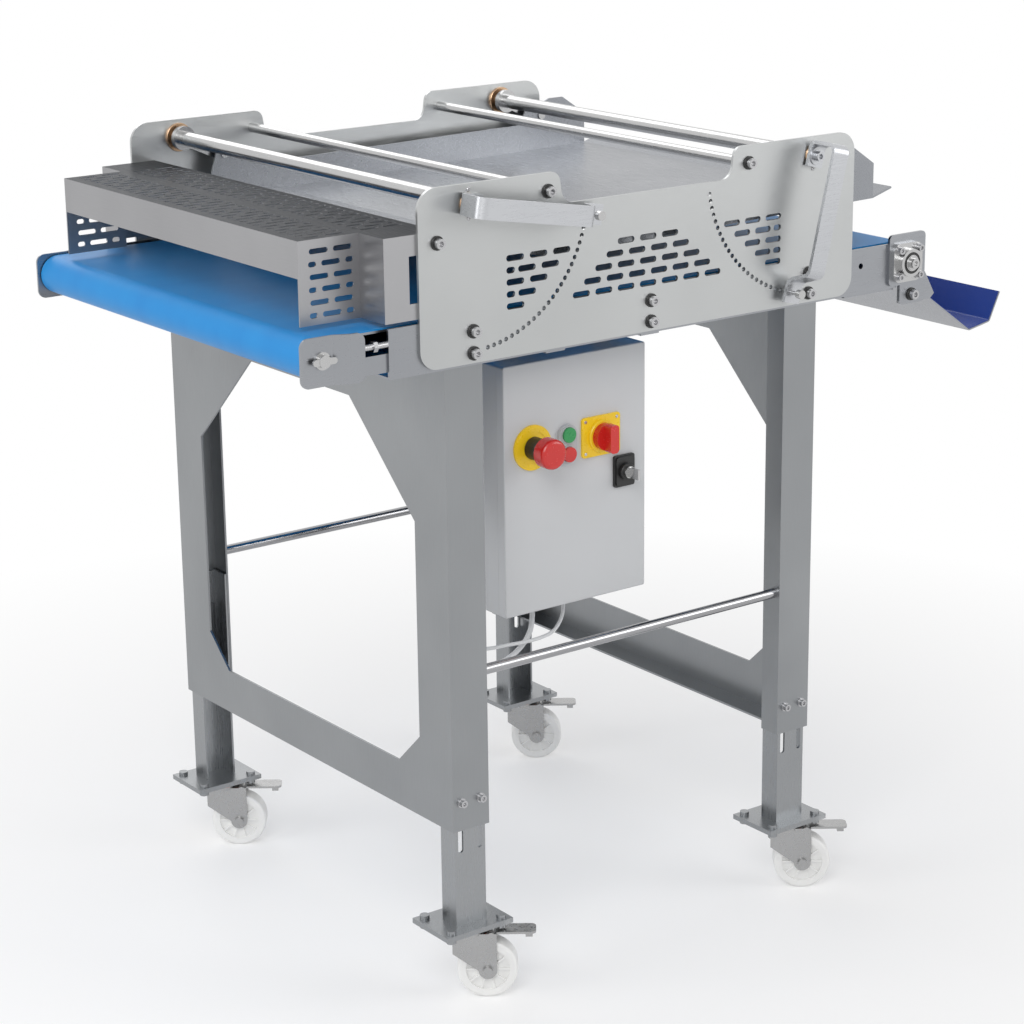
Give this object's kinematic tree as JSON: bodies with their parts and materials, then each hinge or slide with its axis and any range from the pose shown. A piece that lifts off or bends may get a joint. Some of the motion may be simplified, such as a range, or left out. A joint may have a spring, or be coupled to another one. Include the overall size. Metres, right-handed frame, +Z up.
{
  "type": "baguette moulder",
  "caption": "Bakery moulder that rolls dough on a belt beneath a lever-set pressing board, with infeed guard, catch trough, control cabinet and a stand on casters.",
  "frame": {"origin": "on the floor, under the centre of the side plates and midway between them", "axes": "+X along the belt's travel towards the catch trough, +Y away from the lever and control side, +Z up"},
  "size_m": [1.1788, 0.768, 1.082],
  "materials": {
    "steel": "satin, brushed",
    "steel_bright": "turned bright",
    "screw": "dark stainless",
    "zinc": "zinc plated",
    "bronze": "turned bronze",
    "belt": "matt woven-backed belt",
    "liner": "matt",
    "nylon": "matt",
    "cabinet": "textured powder coat",
    "motor": "painted",
    "chain": "oiled",
    "black": "matt",
    "red": "gloss",
    "green": "gloss",
    "cable": "satin"
  },
  "bodies": {
    "frame": {"side_plate_near": "steel", "side_plate_far": "steel", "conveyor_sides": "steel", "cross_members": "steel", "bed_plate": "steel", "nose_brackets": "steel", "drive_brackets": "steel", "trough": "steel", "infeed_guard": "steel", "end_panel_infeed": "steel", "end_panel_outfeed": "steel", "hangers": "steel", "nose_axle": "steel_bright", "tie_rods": "steel_bright", "cross_rods": "steel_bright", "flange_bearings": "steel_bright", "frame_bolts": "screw", "tension_screws": "screw", "shaft_bushes": "bronze", "belt": "belt", "trough_liner": "liner", "gearmotor": "motor", "drive_chain": "chain", "cabinet_body": "cabinet", "cable_a": "cable", "cable_b": "cable", "cable_glands": "black"},
    "infeed_arm": {"infeed_shaft": "steel_bright", "infeed_lever": "steel_bright"},
    "outfeed_arm": {"outfeed_shaft": "steel_bright", "outfeed_lever": "steel_bright"},
    "infeed_index": {"infeed_pin": "steel_bright"},
    "outfeed_index": {"outfeed_pin": "steel_bright"},
    "board": {"pressing_board": "steel"},
    "drive_drum": {"drive_roller": "steel_bright"},
    "nose_drum": {"nose_roller": "steel_bright"},
    "motor_output": {"motor_sprocket": "chain"},
    "door": {"cabinet_door": "cabinet", "switch_bodies": "black"},
    "estop_head": {"emergency_button": "red"},
    "start_head": {"start_button": "green"},
    "stop_head": {"stop_button": "red"},
    "isolator_knob": {"main_switch": "red"},
    "key_barrel": {"key_switch": "steel_bright"},
    "leg_near_infeed": {"leg_near_infeed": "steel_bright"},
    "swivel_near_infeed": {"caster_fork_near_infeed": "zinc"},
    "wheel_near_infeed": {"caster_wheel_near_infeed": "nylon"},
    "brake_near_infeed": {"caster_pedal_near_infeed": "zinc"},
    "leg_far_infeed": {"leg_far_infeed": "steel_bright"},
    "swivel_far_infeed": {"caster_fork_far_infeed": "zinc"},
    "wheel_far_infeed": {"caster_wheel_far_infeed": "nylon"},
    "brake_far_infeed": {"caster_pedal_far_infeed": "zinc"},
    "leg_near_outfeed": {"leg_near_outfeed": "steel_bright"},
    "swivel_near_outfeed": {"caster_fork_near_outfeed": "zinc"},
    "wheel_near_outfeed": {"caster_wheel_near_outfeed": "nylon"},
    "brake_near_outfeed": {"caster_pedal_near_outfeed": "zinc"},
    "leg_far_outfeed": {"leg_far_outfeed": "steel_bright"},
    "swivel_far_outfeed": {"caster_fork_far_outfeed": "zinc"},
    "wheel_far_outfeed": {"caster_wheel_far_outfeed": "nylon"},
    "brake_far_outfeed": {"caster_pedal_far_outfeed": "zinc"}
  },
  "joints": [
    {"name": "infeed_lever_turn", "type": "hinge", "parent": "frame", "child": "infeed_arm", "pos_m": [-0.28, 0, 1.057], "axis": [0, 1, 0], "range_deg": [0, 66]},
    {"name": "outfeed_lever_turn", "type": "hinge", "parent": "frame", "child": "outfeed_arm", "pos_m": [0.28, 0, 1.057], "axis": [0, 1, 0], "range_deg": [0, 66]},
    {"name": "board_level", "type": "hinge", "parent": "infeed_arm", "child": "board", "pos_m": [-0.22336, 0, 1.03178], "axis": [0, 1, 0], "range_deg": [-66, 0]},
    {"name": "infeed_index_slide", "type": "slide", "parent": "infeed_arm", "child": "infeed_index", "axis": [0, 1, 0], "range_m": [0, 0.0044]},
    {"name": "outfeed_index_slide", "type": "slide", "parent": "outfeed_arm", "child": "outfeed_index", "axis": [0, 1, 0], "range_m": [0, 0.0044]},
    {"name": "drive_spin", "type": "hinge", "parent": "frame", "child": "drive_drum", "pos_m": [0.456, 0, 0.892], "axis": [0, 1, 0], "continuous": true},
    {"name": "nose_spin", "type": "hinge", "parent": "frame", "child": "nose_drum", "pos_m": [-0.486, 0, 0.892], "axis": [0, 1, 0], "continuous": true},
    {"name": "motor_spin", "type": "hinge", "parent": "frame", "child": "motor_output", "pos_m": [0.4, 0, 0.803], "axis": [0, 1, 0], "continuous": true},
    {"name": "door_swing", "type": "hinge", "parent": "frame", "child": "door", "pos_m": [-0.185, -0.27015, 0.66], "axis": [0, 0, 1], "range_deg": [-90, 0]},
    {"name": "estop_press", "type": "slide", "parent": "door", "child": "estop_head", "axis": [0, 1, 0], "range_m": [0, 0.004], "stiffness_N_per_m": 800},
    {"name": "start_press", "type": "slide", "parent": "door", "child": "start_head", "axis": [0, 1, 0], "range_m": [0, 0.003], "stiffness_N_per_m": 400},
    {"name": "stop_press", "type": "slide", "parent": "door", "child": "stop_head", "axis": [0, 1, 0], "range_m": [0, 0.003], "stiffness_N_per_m": 400},
    {"name": "isolator_turn", "type": "hinge", "parent": "door", "child": "isolator_knob", "pos_m": [-0.0285, -0.3, 0.714], "axis": [0, 1, 0], "range_deg": [0, 90]},
    {"name": "key_turn", "type": "hinge", "parent": "door", "child": "key_barrel", "pos_m": [0.01, -0.3, 0.6595], "axis": [0, 1, 0], "range_deg": [0, 90]},
    {"name": "leg_adjust_near_infeed", "type": "slide", "parent": "frame", "child": "leg_near_infeed", "axis": [0, 0, 1], "range_m": [-0.085, 0.067]},
    {"name": "swivel_near_infeed", "type": "hinge", "parent": "leg_near_infeed", "child": "swivel_near_infeed", "pos_m": [-0.2835, -0.315, 0.092], "axis": [0, 0, 1], "continuous": true},
    {"name": "wheel_near_infeed", "type": "hinge", "parent": "swivel_near_infeed", "child": "wheel_near_infeed", "pos_m": [-0.25774, -0.33399, 0.04], "axis": [0.5934, 0.8049, 0], "continuous": true},
    {"name": "brake_near_infeed", "type": "hinge", "parent": "swivel_near_infeed", "child": "brake_near_infeed", "pos_m": [-0.25372, -0.33696, 0.08975], "axis": [0.5934, 0.8049, 0], "range_deg": [0, 12]},
    {"name": "leg_adjust_far_infeed", "type": "slide", "parent": "frame", "child": "leg_far_infeed", "axis": [0, 0, 1], "range_m": [-0.085, 0.067]},
    {"name": "swivel_far_infeed", "type": "hinge", "parent": "leg_far_infeed", "child": "swivel_far_infeed", "pos_m": [-0.2835, 0.315, 0.092], "axis": [0, 0, 1], "continuous": true},
    {"name": "wheel_far_infeed", "type": "hinge", "parent": "swivel_far_infeed", "child": "wheel_far_infeed", "pos_m": [-0.25774, 0.29601, 0.04], "axis": [0.5934, 0.8049, 0], "continuous": true},
    {"name": "brake_far_infeed", "type": "hinge", "parent": "swivel_far_infeed", "child": "brake_far_infeed", "pos_m": [-0.25372, 0.29304, 0.08975], "axis": [0.5934, 0.8049, 0], "range_deg": [0, 12]},
    {"name": "leg_adjust_near_outfeed", "type": "slide", "parent": "frame", "child": "leg_near_outfeed", "axis": [0, 0, 1], "range_m": [-0.085, 0.067]},
    {"name": "swivel_near_outfeed", "type": "hinge", "parent": "leg_near_outfeed", "child": "swivel_near_outfeed", "pos_m": [0.2735, -0.315, 0.092], "axis": [0, 0, 1], "continuous": true},
    {"name": "wheel_near_outfeed", "type": "hinge", "parent": "swivel_near_outfeed", "child": "wheel_near_outfeed", "pos_m": [0.29926, -0.33399, 0.04], "axis": [0.5934, 0.8049, 0], "continuous": true},
    {"name": "brake_near_outfeed", "type": "hinge", "parent": "swivel_near_outfeed", "child": "brake_near_outfeed", "pos_m": [0.30328, -0.33696, 0.08975], "axis": [0.5934, 0.8049, 0], "range_deg": [0, 12]},
    {"name": "leg_adjust_far_outfeed", "type": "slide", "parent": "frame", "child": "leg_far_outfeed", "axis": [0, 0, 1], "range_m": [-0.085, 0.067]},
    {"name": "swivel_far_outfeed", "type": "hinge", "parent": "leg_far_outfeed", "child": "swivel_far_outfeed", "pos_m": [0.2735, 0.315, 0.092], "axis": [0, 0, 1], "continuous": true},
    {"name": "wheel_far_outfeed", "type": "hinge", "parent": "swivel_far_outfeed", "child": "wheel_far_outfeed", "pos_m": [0.29926, 0.29601, 0.04], "axis": [0.5934, 0.8049, 0], "continuous": true},
    {"name": "brake_far_outfeed", "type": "hinge", "parent": "swivel_far_outfeed", "child": "brake_far_outfeed", "pos_m": [0.30328, 0.29304, 0.08975], "axis": [0.5934, 0.8049, 0], "range_deg": [0, 12]}
  ],
  "couplings": [
    {"joint": "outfeed_lever_turn", "follows": "infeed_lever_turn", "ratio": 1},
    {"joint": "board_level", "follows": "infeed_lever_turn", "ratio": -1},
    {"joint": "nose_spin", "follows": "drive_spin", "ratio": 1},
    {"joint": "motor_spin", "follows": "drive_spin", "ratio": 1}
  ]
}
